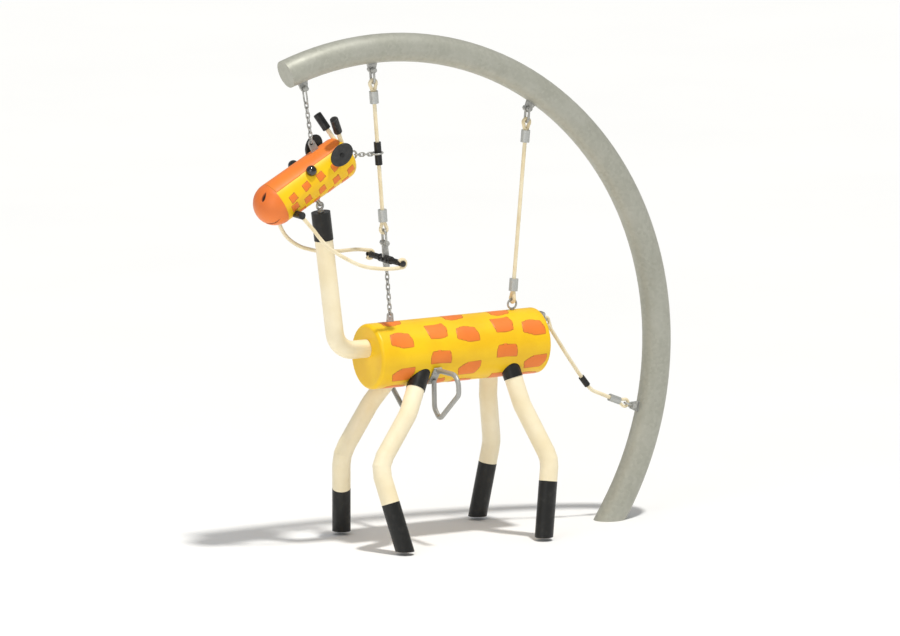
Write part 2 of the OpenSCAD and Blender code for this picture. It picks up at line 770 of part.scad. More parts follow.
module rein_bosses() color("#1c1c1b") at_head() difference() {
    both_sides() translate([boss_x, (56 + boss_y) / 2, boss_z]) cross_bar(boss_r, (boss_y - 56) / 2);
    head_tube(head_r + seat, -1, head_tube_end);
}

module head_lug() color("#8f9490") at_head() difference() {
    translate([head_lug_x, 0, head_lug_z]) tab(head_lug_r, head_lug_hole, 40, head_lug_t);
    head_tube(head_r + seat, 0, head_tube_end);
}

module head_eye_bolts() color("#a8aca6") at_head() {
    difference() {
        translate([head_pivot_x, 0, -head_pivot_z + pivot_ring_r]) {
            rotate([0, 0, 90])
                loop(2 * pivot_ring_r - pivot_wire, 2 * pivot_ring_r - pivot_wire, pivot_wire);
            translate([0, 0, pivot_ring_r]) cylinder(d = 24, h = 12);
        }
        head_tube(head_r + seat, 0, head_tube_end);
    }
    translate([head_len, 0, rear_ring_z]) {
        translate([seat, 0, 0]) along_x(0) cylinder(d = 22, h = rear_ring_wire / 2 + 3);
        translate([rear_ring_wire / 2 + 2 + rear_ring_r, 0, 0])
            loop(2 * rear_ring_r - rear_ring_wire, 2 * rear_ring_r - rear_ring_wire,
                rear_ring_wire);
    }
}

// ---- head chain and tether ----

module head_chain_pin() color("#b8b8b0") translate(head_top)
    shackle_pin(pin_d, head_shackle_span / 2 + head_shackle_wire / 2 + 1 + gap);

module head_chain() color("#a8aca6") translate(head_top) rotate([0, -head_chain_lean, 0]) {
    shackle(head_shackle_wire, head_shackle_span, head_bow, pin_d + 2 * fit);
    translate([0, 0, head_bow_seat - head_bow]) chain(head_links, chain_pitch, 0);
}

module tether_chain() color("#c8cac6") translate(ring_front)
    rotate([0, -tether_lean, 0]) translate([0, 0, chain_wire / 2 + ring_wire / 2 + gap])
        chain(tether_links, tether_pitch, 0);

// ---- tail ----

module tail_frame() translate(tail_hip) rotate([0, -tail_upper_lean, 0]) children();
module tail_low_frame() translate(tail_post) rotate([0, -tail_low_lean, 0]) children();

module tail_top_pin() color("#b8b8b0") translate(tail_hip)
    shackle_pin(tail_pin_d, tail_span / 2 + tail_wire / 2 + 1 + gap);

module tail_top_shackle() color("#8f9490") tail_frame()
    shackle(tail_wire, tail_span, tail_reach, tail_pin_d + 2 * fit);

module tail_rope_upper() color("#efe2bd") {
    tail_frame() translate([0, 0, -tail_reach + tail_wire / 2 + gap - tail_eye_hole / 2])
        loop(tail_eye_hole, 12, tail_eye_rope);
    tube(tail_upper_route, cord_d / 2, 10);
}

module tail_sleeve() color("#2b2b29") {
    d = unit(tail_sleeve_to - tail_sleeve_from);
    translate(tail_sleeve_from) rotate([0, atan2(d[0], d[2]), 0]) difference() {
        cylinder(d = 25, h = norm(tail_sleeve_to - tail_sleeve_from));
        translate([0, 0, -1]) cylinder(d = cord_d + 1, h = 60);
    }
}

module tail_post_pin() color("#b8b8b0") translate(tail_post)
    shackle_pin(pin_d, tail_span / 2 + tail_wire / 2 + 1 + gap);

module tail_shackle() color("#8f9490") tail_low_frame()
    shackle(tail_wire, tail_span, tail_reach, pin_d + 2 * fit);

tail_low_eye = tail_reach - tail_wire / 2 - gap + tail_eye_hole / 2;
tail_low_ferrule = tail_low_eye + tail_eye_hole / 2 + tail_eye_rope + 1;

module tail_rope_lower() color("#efe2bd") {
    tail_low_frame() {
        translate([0, 0, -tail_low_eye]) loop(tail_eye_hole, 12, tail_eye_rope);
        translate([0, 0, -tail_low_len - 2])
            cylinder(d = cord_d, h = tail_low_len - tail_low_ferrule + 7);
    }
    tube(tail_lower_route, cord_d / 2, 10);
}

module tail_ferrule() color("#a3a7a1") tail_low_frame()
    ferrule(tail_low_ferrule, tail_ferrule_len, tail_ferrule_d, cord_d + 2 * seat);

arch_post();
arch_end_cap();
foot_plate();
hanging_lugs();
tail_lug();
hanger_pins();
front_top_shackle();
front_rope();
front_ferrules();
rope_sleeve();
sleeve_ring();
lower_shackle();
handle_core();
handle_grips();
front_chain();
rear_top_shackle();
rear_rope();
rear_ferrules();
body_shell();
body_front_cap();
body_rear_cap();
body_frame();
front_left_leg();
front_right_leg();
rear_left_leg();
rear_right_leg();
front_boots();
rear_boots();
hip_collars();
neck_tube();
neck_sleeve();
neck_eye();
left_stirrup();
right_stirrup();
body_front_lug();
body_rear_eye();
tail_socket();
reins();
head_shell();
muzzle();
head_rear_cap();
eyes();
ears();
ear_bolts();
horn_stalks();
horn_tips();
rein_bosses();
head_lug();
head_eye_bolts();
head_chain_pin();
head_chain();
tether_chain();
tail_top_pin();
tail_top_shackle();
tail_rope_upper();
tail_sleeve();
tail_post_pin();
tail_shackle();
tail_rope_lower();
tail_ferrule();
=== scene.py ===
import json
import math
import random

import bmesh
import bpy
from mathutils import Matrix, Vector


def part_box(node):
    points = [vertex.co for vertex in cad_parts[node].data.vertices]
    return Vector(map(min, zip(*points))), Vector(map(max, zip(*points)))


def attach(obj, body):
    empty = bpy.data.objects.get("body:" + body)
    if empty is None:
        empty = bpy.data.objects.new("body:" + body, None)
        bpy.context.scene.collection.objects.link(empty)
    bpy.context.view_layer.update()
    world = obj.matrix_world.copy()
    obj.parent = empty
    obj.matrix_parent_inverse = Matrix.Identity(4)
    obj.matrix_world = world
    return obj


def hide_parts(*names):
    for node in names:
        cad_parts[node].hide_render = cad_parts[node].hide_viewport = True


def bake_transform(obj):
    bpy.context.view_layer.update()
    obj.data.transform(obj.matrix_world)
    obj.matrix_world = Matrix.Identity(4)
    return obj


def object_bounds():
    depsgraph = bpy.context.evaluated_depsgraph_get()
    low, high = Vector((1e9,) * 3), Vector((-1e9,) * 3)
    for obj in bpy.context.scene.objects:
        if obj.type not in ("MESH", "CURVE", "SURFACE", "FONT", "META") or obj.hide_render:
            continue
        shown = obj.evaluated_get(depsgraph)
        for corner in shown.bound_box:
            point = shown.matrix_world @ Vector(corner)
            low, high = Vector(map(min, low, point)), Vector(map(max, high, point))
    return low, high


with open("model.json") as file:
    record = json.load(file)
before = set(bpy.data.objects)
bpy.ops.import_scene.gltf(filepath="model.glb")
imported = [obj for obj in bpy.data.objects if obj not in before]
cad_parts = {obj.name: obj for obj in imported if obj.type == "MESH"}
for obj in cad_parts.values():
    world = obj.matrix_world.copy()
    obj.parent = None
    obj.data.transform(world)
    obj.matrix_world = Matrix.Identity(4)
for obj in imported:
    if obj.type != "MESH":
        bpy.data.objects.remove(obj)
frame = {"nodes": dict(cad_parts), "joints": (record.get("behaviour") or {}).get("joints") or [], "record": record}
cad_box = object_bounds()
rng = random.Random(7)
joint_at = {j["name"]: Vector(j["pos_m"]) for j in frame["joints"]}

# ---- places, taken from the frame ----

FRONT_TOP = joint_at["swing"]
FRONT_LOW = joint_at["body_pitch"]
REAR_TOP = joint_at["rear_swing"]
NECK_PIVOT = joint_at["head_nod"]
TAIL_HIP = joint_at["tail_upper_swing"]
TAIL_POST = joint_at["tail_lower_swing"]

HEAD_PITCH = math.radians(28)
HEAD_R = 0.086
HEAD_LEN = 0.370
HEAD_ROUND = 0.040
HEAD_PIVOT = Vector((0.169, 0, -0.1185))     # the neck pivot in the head's own frame
PATCH_LIFT = 0.0008                          # how far a marking stands off its shell
PATCH_SKIRT = -0.0004                        # how far its edge is let in
# the width of a marking's bevelled rim, which is painted darker as shade
PATCH_EDGE = 0.0018

ROPE_R = 0.008
ROPE_STEP = 0.004                            # between the rings of a rope's mesh
EYE_ROPE_R = 0.0072
EYE_HALF = 0.0185                            # from an eye's centre to its rope's centre line
EYE_BEND = 0.0145
EYE_SWEEP = 256                              # degrees round the end of an eye
EYE_STEPS = 24
EYE_TAIL = 0.012                             # an eye's ends reach this far into the ferrule
CORD_R = 0.0078
CORD_LAY = 0.06
CORD_SIDES = 24


def head_matrix():
    axes = Matrix.Rotation(-HEAD_PITCH, 4, "Y")
    return Matrix.Translation(NECK_PIVOT) @ axes @ Matrix.Translation(-HEAD_PIVOT)


HEAD = head_matrix()


def hanger_matrix(top, low):
    """A frame at top whose -Z runs down to low."""
    lean = math.atan2(low.x - top.x, top.z - low.z)
    return Matrix.Translation(top) @ Matrix.Rotation(-lean, 4, "Y")


# ---- materials ----


class Look:
    """A node material with short helpers; its texture coordinates are the piece's own."""

    def __init__(self, name, colour, roughness=0.5, metallic=0.0, **sockets):
        self.mat = bpy.data.materials.new(name)
        self.mat.use_nodes = True
        self.nodes = self.mat.node_tree.nodes
        self.links = self.mat.node_tree.links
        self.bsdf = self.nodes["Principled BSDF"]
        self.bsdf.inputs["Base Color"].default_value = (*colour, 1)
        self.bsdf.inputs["Roughness"].default_value = roughness
        self.bsdf.inputs["Metallic"].default_value = metallic
        for key, value in sockets.items():
            self.bsdf.inputs[key.replace("_", " ")].default_value = value
        self.coords = self.node("ShaderNodeTexCoord").outputs["Object"]

    def node(self, kind, **values):
        made = self.nodes.new(kind)
        for key, value in values.items():
            if key in made.inputs:
                made.inputs[key].default_value = value
            else:
                setattr(made, key, value)
        return made

    def stretched(self, scale):
        mapping = self.node("ShaderNodeMapping")
        mapping.inputs["Scale"].default_value = scale
        self.links.new(self.coords, mapping.inputs["Vector"])
        return mapping.outputs["Vector"]

    def noise(self, scale, detail=4.0, rough=0.5, coords=None):
        made = self.node("ShaderNodeTexNoise", Scale=scale, Detail=detail, Roughness=rough)
        self.links.new(coords or self.coords, made.inputs["Vector"])
        return made.outputs["Fac"]

    def cells(self, scale, output="Color"):
        made = self.node("ShaderNodeTexVoronoi", Scale=scale)
        self.links.new(self.coords, made.inputs["Vector"])
        return made.outputs[output]

    def ramp(self, value, *stops):
        made = self.node("ShaderNodeValToRGB")
        items = made.color_ramp.elements
        while len(items) < len(stops):
            items.new(0.5)
        for item, (place, colour) in zip(items, stops):
            item.position = place
            item.color = (*colour, 1) if isinstance(colour, tuple) else (colour,) * 3 + (1,)
        self.links.new(value, made.inputs["Fac"])
        return made.outputs["Color"]

    def mix(self, a, b, share):
        made = self.node("ShaderNodeMix", data_type="RGBA")
        for index, value in ((0, share), (6, a), (7, b)):
            if isinstance(value, (int, float)):
                made.inputs[index].default_value = value
            elif isinstance(value, tuple):
                made.inputs[index].default_value = (*value, 1)
            else:
                self.links.new(value, made.inputs[index])
        return made.outputs[2]

    def colour(self, value):
        self.links.new(value, self.bsdf.inputs["Base Color"])

    def roughness(self, value, low, high):
        made = self.node("ShaderNodeMapRange")
        made.inputs["To Min"].default_value = low
        made.inputs["To Max"].default_value = high
        self.links.new(value, made.inputs["Value"])
        self.links.new(made.outputs["Result"], self.bsdf.inputs["Roughness"])

    def bump(self, value, distance, strength, under=None):
        made = self.node("ShaderNodeBump", Strength=strength, Distance=distance)
        self.links.new(value, made.inputs["Height"])
        if under:
            self.links.new(under, made.inputs["Normal"])
        self.links.new(made.outputs["Normal"], self.bsdf.inputs["Normal"])
        return made.outputs["Normal"]


def galvanised():
    look = Look("galvanised", (0.42, 0.42, 0.35), 0.5, 0.25)
    spangle = look.ramp(look.cells(85), (0.1, (0.375, 0.375, 0.315)), (0.9, (0.43, 0.43, 0.365)))
    bloom = look.ramp(look.noise(7, 6, 0.65), (0.46, 0.0), (0.72, 0.7))
    cloudy = look.mix(spangle, (0.47, 0.47, 0.41), bloom)
    streak = look.noise(5, 5, 0.6, look.stretched((4, 4, 0.7)))
    worn = look.mix(cloudy, (0.30, 0.30, 0.25), look.ramp(streak, (0.58, 0.0), (0.78, 0.4)))
    spots = look.ramp(look.noise(24, 5, 0.7), (0.66, 0.0), (0.78, 0.5))
    look.colour(look.mix(worn, (0.24, 0.24, 0.20), spots))
    look.roughness(look.noise(26, 4), 0.42, 0.62)
    fine = look.bump(look.noise(340, 3), 0.0004, 0.35)
    look.bump(look.cells(85, "Distance"), 0.0006, 0.12, fine)
    return look.mat


def zinc(name="zinc_hardware", colour=(0.50, 0.50, 0.47)):
    look = Look(name, colour, 0.42, 0.45)
    dull = tuple(0.68 * part for part in colour)
    grime = look.ramp(look.noise(70, 6, 0.6), (0.4, dull), (0.62, colour))
    look.colour(grime)
    look.roughness(look.noise(120, 4), 0.30, 0.52)
    look.bump(look.noise(600, 3), 0.0003, 0.4)
    return look.mat


def pressed_aluminium():
    look = Look("pressed_aluminium", (0.52, 0.53, 0.51), 0.42, 0.55)
    lines = look.noise(30, 3, 0.5, look.stretched((6, 6, 60)))
    look.colour(look.ramp(lines, (0.3, (0.40, 0.41, 0.39)), (0.7, (0.58, 0.59, 0.57))))
    look.roughness(look.noise(90, 4), 0.34, 0.55)
    look.bump(lines, 0.0004, 0.5)
    return look.mat


def satin_steel():
    look = Look("satin_steel", (0.42, 0.42, 0.40), 0.45, 0.45)
    brushed = look.noise(40, 5, 0.6, look.stretched((30, 4, 4)))
    look.colour(look.ramp(brushed, (0.3, (0.34, 0.34, 0.32)), (0.7, (0.46, 0.46, 0.44))))
    look.roughness(brushed, 0.38, 0.55)
    look.bump(brushed, 0.0002, 0.3)
    return look.mat


def rope_fibre():
    look = Look("rope_fibre", (0.86, 0.76, 0.55), 0.82, 0.0, Sheen_Weight=0.35)
    uv = look.node("ShaderNodeUVMap").outputs["UV"]
    mapping = look.node("ShaderNodeMapping")
    mapping.inputs["Scale"].default_value = (26, 3, 1)
    look.links.new(uv, mapping.inputs["Vector"])
    yarn = look.noise(6, 4, 0.6, mapping.outputs["Vector"])
    tone = look.ramp(look.noise(14, 4), (0.35, (0.80, 0.67, 0.42)), (0.65, (0.91, 0.81, 0.58)))
    look.colour(look.mix(tone, (0.60, 0.46, 0.26), look.ramp(yarn, (0.62, 0.0), (0.8, 0.35))))
    look.bump(yarn, 0.0007, 0.7)
    return look.mat


def moulded(name, colour, deep, roughness=0.36):
    """Glossy moulded plastic with a faint orange peel, slow colour drift and fine scuffs."""
    look = Look(name, colour, roughness, 0.0, Coat_Weight=0.06, Coat_Roughness=0.3, Specular_IOR_Level=0.35)
    drift = look.ramp(look.noise(7, 5, 0.55), (0.36, deep), (0.62, colour))
    scuff = look.noise(38, 6, 0.7, look.stretched((1, 5, 5)))
    pale = tuple(min(1.0, 0.75 * part + 0.22) for part in colour)
    look.colour(look.mix(drift, pale, look.ramp(scuff, (0.66, 0.0), (0.82, 0.22))))
    look.roughness(look.noise(60, 5), roughness - 0.07, roughness + 0.13)
    peel = look.bump(look.noise(420, 2), 0.0003, 0.22)
    look.bump(look.noise(22, 2), 0.0012, 0.10, peel)
    return look.mat


def coated_tube():
    look = Look("coated_tube", (0.93, 0.82, 0.57), 0.42, 0.0, Coat_Weight=0.1)
    soft = look.noise(5, 5, 0.6)
    tone = look.ramp(soft, (0.35, (0.87, 0.75, 0.49)), (0.65, (0.95, 0.85, 0.62)))
    dirt = look.ramp(look.noise(46, 7, 0.72), (0.64, 0.0), (0.82, 0.30))
    look.colour(look.mix(tone, (0.62, 0.50, 0.30), dirt))
    look.roughness(look.noise(50, 4), 0.34, 0.54)
    look.bump(look.noise(520, 2), 0.0003, 0.25)
    return look.mat


def black_rubber():
    look = Look("black_rubber", (0.016, 0.016, 0.015), 0.42, 0.0, Specular_IOR_Level=0.35)
    dust = look.ramp(look.noise(34, 7, 0.7), (0.5, (0.012, 0.012, 0.011)), (0.8, (0.032, 0.031, 0.028)))
    look.colour(dust)
    look.roughness(look.noise(48, 5), 0.26, 0.50)
    grain = look.bump(look.noise(900, 2), 0.0003, 0.5)
    folds = look.noise(9, 4, 0.5, look.stretched((3, 3, 0.6)))
    look.bump(folds, 0.006, 0.35, grain)
    return look.mat


def black_plastic(name, dark, light):
    look = Look(name, (dark,) * 3, 0.38, 0.0, Specular_IOR_Level=0.4)
    tone = look.ramp(look.noise(60, 5), (0.4, (dark,) * 3), (0.7, (light,) * 3))
    look.colour(tone)
    look.roughness(look.noise(80, 4), 0.30, 0.50)
    look.bump(look.cells(900, "Distance"), 0.0003, 0.35)
    return look.mat


def eye_gloss():
    look = Look("eye_gloss", (0.006, 0.006, 0.006), 0.07, 0.0, Coat_Weight=0.8, Coat_Roughness=0.03)
    look.colour(look.ramp(look.noise(40, 3), (0.4, (0.004, 0.004, 0.004)), (0.6, (0.012, 0.012, 0.012))))
    look.bump(look.noise(30, 2), 0.0004, 0.05)
    return look.mat


def sculpted_orange():
    """The muzzle's orange, with painted shade, near black, inside the nostrils and the mouth."""
    mat = moulded("muzzle_orange_with_recess_shade", (0.83, 0.21, 0.035), (0.76, 0.17, 0.028), 0.40)
    nodes, links = mat.node_tree.nodes, mat.node_tree.links
    bsdf = nodes["Principled BSDF"]
    skin = bsdf.inputs["Base Color"].links[0].from_socket
    recess_shade_mask = nodes.new("ShaderNodeAttribute")
    recess_shade_mask.attribute_name = "recess_shade_mask"
    recess_shade_blend = nodes.new("ShaderNodeMix")
    recess_shade_blend.data_type = "RGBA"
    # painted shade: near black inside the nostrils and the mouth, where their hollows fall into shade
    recess_shade_blend.inputs[7].default_value = (0.010, 0.008, 0.007, 1)
    links.new(recess_shade_mask.outputs["Fac"], recess_shade_blend.inputs[0])
    links.new(skin, recess_shade_blend.inputs[6])
    links.new(recess_shade_blend.outputs[2], bsdf.inputs["Base Color"])
    return mat


def primed_steel():
    look = Look("primed_steel", (0.30, 0.30, 0.28), 0.6, 0.2)
    look.colour(look.ramp(look.noise(40, 5), (0.4, (0.24, 0.24, 0.22)), (0.6, (0.34, 0.34, 0.32))))
    look.bump(look.noise(200, 3), 0.0004, 0.3)
    return look.mat


GALVANISED = galvanised()
ZINC = zinc()
WELD = zinc("weld_bead", (0.40, 0.40, 0.38))
ALUMINIUM = pressed_aluminium()
SATIN = satin_steel()
ROPE = rope_fibre()
YELLOW = moulded("yellow_plastic", (0.95, 0.60, 0.006), (0.88, 0.52, 0.006))
ORANGE = moulded("orange_plastic", (0.90, 0.235, 0.030), (0.83, 0.20, 0.026), 0.42)
# painted shade: the darker orange for the rims of the raised markings
ORANGE_RIM_SHADE = moulded("orange_rim_painted_shade", (0.62, 0.20, 0.018), (0.55, 0.17, 0.016), 0.5)
MUZZLE = sculpted_orange()
CREAM = coated_tube()
RUBBER = black_rubber()
PLASTIC = black_plastic("black_plastic", 0.012, 0.030)
EAR_PLASTIC = black_plastic("ear_plastic", 0.022, 0.036)
BOLT_PLASTIC = black_plastic("bolt_plastic", 0.004, 0.010)
EYE = eye_gloss()
PRIMER = primed_steel()

BY_SLOT = {
    "galvanised": GALVANISED, "zinc_hardware": ZINC, "ferrule": ALUMINIUM, "cream_rope": ROPE,
    "yellow_shell": YELLOW, "orange_plastic": ORANGE, "cream_limb": CREAM, "black_rubber": RUBBER,
    "black_plastic": PLASTIC, "stirrup_steel": SATIN, "inner_steel": PRIMER,
}
OWN_LOOK = {"eyes": EYE, "ear_bolts": BOLT_PLASTIC}
slot_of = {row["node"]: row["material_slot"] for row in frame["record"]["subparts"]}
for name, cad in frame["nodes"].items():
    cad.data.materials.clear()
    cad.data.materials.append(OWN_LOOK.get(name) or BY_SLOT[slot_of[name]])


# ---- mesh helpers ----


def finish_piece(name, bm, body, look, smooth=True, replaces=()):
    """Turns a bmesh into a piece that rides on a body, or on none yet where body is None."""
    bmesh.ops.recalc_face_normals(bm, faces=bm.faces)
    mesh = bpy.data.meshes.new(name)
    bm.to_mesh(mesh)
    bm.free()
    piece = bpy.data.objects.new(name, mesh)
    bpy.context.scene.collection.objects.link(piece)
    mesh.materials.append(look)
    for face in mesh.polygons:
        face.use_smooth = smooth
    if body:
        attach(piece, body)
    if replaces:
        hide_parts(*replaces)
    return piece


def join_bmesh(target, source, matrix=None):
    """Copies source into target, through an optional matrix."""
    if matrix is not None:
        bmesh.ops.transform(source, matrix=matrix, verts=source.verts)
    spare = bpy.data.meshes.new("spare")
    source.to_mesh(spare)
    source.free()
    target.from_mesh(spare)
    bpy.data.meshes.remove(spare)


def lathe(profile, steps=48):
    """A solid turned about Z from (radius, z) pairs that run from one end to the other."""
    bm = bmesh.new()
    rings = []
    for radius, z in profile:
        ring = []
        for k in range(steps):
            a = 2 * math.pi * k / steps
            ring.append(bm.verts.new((radius * math.cos(a), radius * math.sin(a), z)))
        rings.append(ring)
    for lower, upper in zip(rings, rings[1:]):
        for k in range(steps):
            n = (k + 1) % steps
            bm.faces.new((lower[k], lower[n], upper[n], upper[k]))
    bm.faces.new(list(reversed(rings[0])))
    bm.faces.new(rings[-1])
    return bm


def smooth_path(points, spacing):
    """Even steps along a Catmull-Rom curve through the points."""
    ends = [2 * points[0] - points[1]] + list(points) + [2 * points[-1] - points[-2]]
    dense = []
    for a, b, c, d in zip(ends, ends[1:], ends[2:], ends[3:]):
        for k in range(12):
            t = k / 12
            dense.append(0.5 * (2 * b + (c - a) * t + (2 * a - 5 * b + 4 * c - d) * t * t
                                + (3 * b - a - 3 * c + d) * t ** 3))
    dense.append(points[-1].copy())
    total = sum((b - a).length for a, b in zip(dense, dense[1:]))
    count = max(2, round(total / spacing))
    step = total / count
    out, run, target = [dense[0]], 0.0, step
    for a, b in zip(dense, dense[1:]):
        length = (b - a).length
        while run + length >= target - 1e-9 and len(out) < count:
            out.append(a.lerp(b, (target - run) / length))
            target += step
        run += length
    out.append(dense[-1])
    return out


def path_frames(path):
    """A normal and a side for each point, carried along without twist."""
    tangents = []
    for i in range(len(path)):
        before, after = path[max(i - 1, 0)], path[min(i + 1, len(path) - 1)]
        tangents.append((after - before).normalized())
    side = tangents[0].cross(Vector((0, 1, 0)))
    if side.length < 0.2:
        side = tangents[0].cross(Vector((1, 0, 0)))
    frames = []
    for tangent in tangents:
        side = (side - tangent * side.dot(tangent)).normalized()
        frames.append((side, tangent.cross(side)))
    return frames


def rope_bmesh(path, radius, strands=6, lay=0.085, steps=30, groove=0.13):
    """A laid rope: its strands stand out of the surface and wind once in each lay length."""
    bm = bmesh.new()
    uv = bm.loops.layers.uv.new("UVMap")
    frames = path_frames(path)
    run, rings, runs = 0.0, [], []
    for i, (point, (side, up)) in enumerate(zip(path, frames)):
        if i:
            run += (point - path[i - 1]).length
        ring = []
        for k in range(steps):
            a = 2 * math.pi * k / steps
            crest = abs(math.cos(strands / 2 * (a - 2 * math.pi * run / lay)))
            r = radius * (1 - groove + groove * crest ** 0.6)
            ring.append(bm.verts.new(point + r * (math.cos(a) * side + math.sin(a) * up)))
        rings.append(ring)
        runs.append(run)
    for i, (lower, upper) in enumerate(zip(rings, rings[1:])):
        for k in range(steps):
            n = (k + 1) % steps
            face = bm.faces.new((lower[k], lower[n], upper[n], upper[k]))
            for loop, (across, along) in zip(face.loops, ((k, i), (k + 1, i), (k + 1, i + 1), (k, i + 1))):
                turn = across / steps - runs[along] / lay
                loop[uv].uv = (turn, runs[along] / (2 * math.pi * radius))
    bm.faces.new(list(reversed(rings[0])))
    bm.faces.new(rings[-1])
    return bm


def eye_path(centre_z, down, turned):
    """The run of a rope eye in a hanger's frame, from its ferrule round and back to it."""
    sign = -1 if down else 1
    points = []
    for k in range(EYE_STEPS + 1):
        a = math.radians(-EYE_SWEEP / 2 + EYE_SWEEP * k / EYE_STEPS)
        z = EYE_HALF - EYE_BEND + EYE_BEND * math.cos(a)
        points.append(Vector((EYE_BEND * math.sin(a), 0, sign * z)))
    tail = Vector((EYE_ROPE_R * 0.55, 0, -sign * (EYE_HALF + EYE_TAIL)))
    points = [Vector((-tail.x, 0, tail.z))] + points + [tail]
    turn = Matrix.Rotation(math.radians(90 if turned else 0), 3, "Z")
    return smooth_path([turn @ p + Vector((0, 0, centre_z)) for p in points], 0.003)


# ---- the two suspension ropes ----


TOP_EYE = 0.0597                             # from a shackle's pin to the centre of the eye in it
FRONT_CHAIN = 0.1885                         # the short chain under the handle
TAB_DROP = 0.040                             # from the handle's bar to the chain's hole
SHACKLE_RISE = 0.065                         # from the handle's bar up to the lower shackle's pin
RING_SEAT = 0.0257                           # from the rear rope's lower eye to the end of its run
EYE_LAY = 0.07

FRONT = hanger_matrix(FRONT_TOP, FRONT_LOW)
REAR_LOW = Vector((-0.452, 0, 0.914))
REAR = hanger_matrix(REAR_TOP, REAR_LOW)
FRONT_LEN = (FRONT_LOW - FRONT_TOP).length
REAR_LEN = (REAR_LOW - REAR_TOP).length
HANDLE_AT = FRONT_LEN - FRONT_CHAIN - TAB_DROP
LOW_EYE = HANDLE_AT - SHACKLE_RISE - TOP_EYE
REAR_LOW_EYE = REAR_LEN - RING_SEAT


def suspension_rope(name, body, matrix, low_eye, low_turned, node):
    """A rope with an eye at each end; low_turned gives its lower eye a quarter turn."""
    stations = (-TOP_EYE - EYE_HALF, (-TOP_EYE - low_eye) / 2, -low_eye + EYE_HALF)
    bm = rope_bmesh(smooth_path([Vector((0, 0, z)) for z in stations], ROPE_STEP), ROPE_R)
    join_bmesh(bm, rope_bmesh(eye_path(-TOP_EYE, False, False), EYE_ROPE_R, lay=EYE_LAY))
    join_bmesh(bm, rope_bmesh(eye_path(-low_eye, True, low_turned), EYE_ROPE_R, lay=EYE_LAY))
    bmesh.ops.transform(bm, matrix=matrix, verts=bm.verts)
    finish_piece(name, bm, body, ROPE, replaces=(node,))


suspension_rope("front_rope_laid", "front_hanger", FRONT, LOW_EYE, False, "front_rope")
suspension_rope("rear_rope_laid", "rear_hanger", REAR, REAR_LOW_EYE, True, "rear_rope")


# ---- reins and tail ropes ----

LEFT_REIN = [
    (-1.464, -0.103, 1.360), (-1.443, -0.106, 1.335), (-1.420, -0.108, 1.309), (-1.398, -0.110, 1.280),
    (-1.375, -0.112, 1.254), (-1.352, -0.114, 1.233), (-1.327, -0.116, 1.215), (-1.303, -0.118, 1.199),
    (-1.277, -0.119, 1.184), (-1.250, -0.121, 1.169), (-1.220, -0.122, 1.155), (-1.190, -0.124, 1.145),
    (-1.158, -0.125, 1.138), (-1.125, -0.127, 1.133), (-1.092, -0.128, 1.130), (-1.060, -0.129, 1.129),
]
RIGHT_REIN = [
    (-1.472, 0.103, 1.357), (-1.463, 0.106, 1.330), (-1.450, 0.109, 1.297), (-1.430, 0.111, 1.264),
    (-1.406, 0.113, 1.239), (-1.378, 0.115, 1.219), (-1.348, 0.116, 1.203), (-1.315, 0.118, 1.192),
    (-1.280, 0.119, 1.182), (-1.242, 0.120, 1.176), (-1.204, 0.122, 1.173), (-1.165, 0.124, 1.171),
    (-1.128, 0.126, 1.171), (-1.092, 0.128, 1.170), (-1.060, 0.129, 1.166),
]
HANDLE = FRONT @ Vector((0, 0, -HANDLE_AT))
REIN_Y = 0.128                               # where a rein goes round the handle's bar
REIN_WRAP = 0.0160                           # the radius of that turn
REIN_TURN = 240
REIN_TURN_START = -100
REIN_TURN_STEPS = 7
REIN_MIDDLE = 8


def rein(name, side, route, turn):
    """One rein in two pieces, the fore half from the head and the aft half round the handle; neither piece is set
    on a body.
    """
    points = [Vector(p) for p in route]
    for k in range(REIN_TURN_STEPS + 1):
        a = math.radians(turn * (REIN_TURN_START + REIN_TURN * k / REIN_TURN_STEPS))
        points.append(HANDLE + Vector((REIN_WRAP * math.cos(a), side * REIN_Y, REIN_WRAP * math.sin(a))))
    path = smooth_path(points, ROPE_STEP)
    middle = min(range(len(path)), key=lambda i: (path[i] - points[REIN_MIDDLE]).length)
    halves = (
        ("fore", path[:middle + 1], "head", "giraffe"),
        ("aft", path[middle:], "giraffe", "front_hanger"),
    )
    for part, stretch, first, last in halves:
        bm = rope_bmesh(stretch, CORD_R, lay=CORD_LAY, steps=CORD_SIDES)
        piece = finish_piece(f"{name}_{part}", bm, None, ROPE, replaces=("reins",))
        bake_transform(piece)


rein("left_rein", -1, LEFT_REIN, 1)
rein("right_rein", 1, RIGHT_REIN, -1)

TAIL_UPPER = [
    (-0.287, 0, 0.818), (-0.250, 0, 0.762), (-0.215, 0, 0.709), (-0.180, 0, 0.658), (-0.150, 0, 0.615),
    (-0.122, 0, 0.577),
]
TAIL_LOWER = [
    (-0.108, 0, 0.559), (-0.100, 0, 0.549), (-0.090, 0, 0.539), (-0.077, 0, 0.529), (-0.060, 0, 0.521),
    (-0.038, 0, 0.512), (-0.014, 0, 0.501),
]
TAIL_BEND = Vector((-0.090, 0, 0.533))
TAIL_EYE = 0.0407
TAIL_RUN_SHARE = 0.47                        # the last straight run ends inside the ferrule
TAIL_RUN_STEPS = 4


def tail_rope(name, body, route, pin, target, node):
    """Half of the tail rope, with the eye at its shackle."""
    path = smooth_path([Vector(p) for p in route], ROPE_STEP)
    bm = rope_bmesh(path, CORD_R, lay=CORD_LAY, steps=CORD_SIDES)
    eye = rope_bmesh(eye_path(-TAIL_EYE, False, False), EYE_ROPE_R * 0.9, lay=CORD_LAY, steps=CORD_SIDES)
    join_bmesh(bm, eye, hanger_matrix(pin, target))
    finish_piece(name, bm, body, ROPE, replaces=(node,))


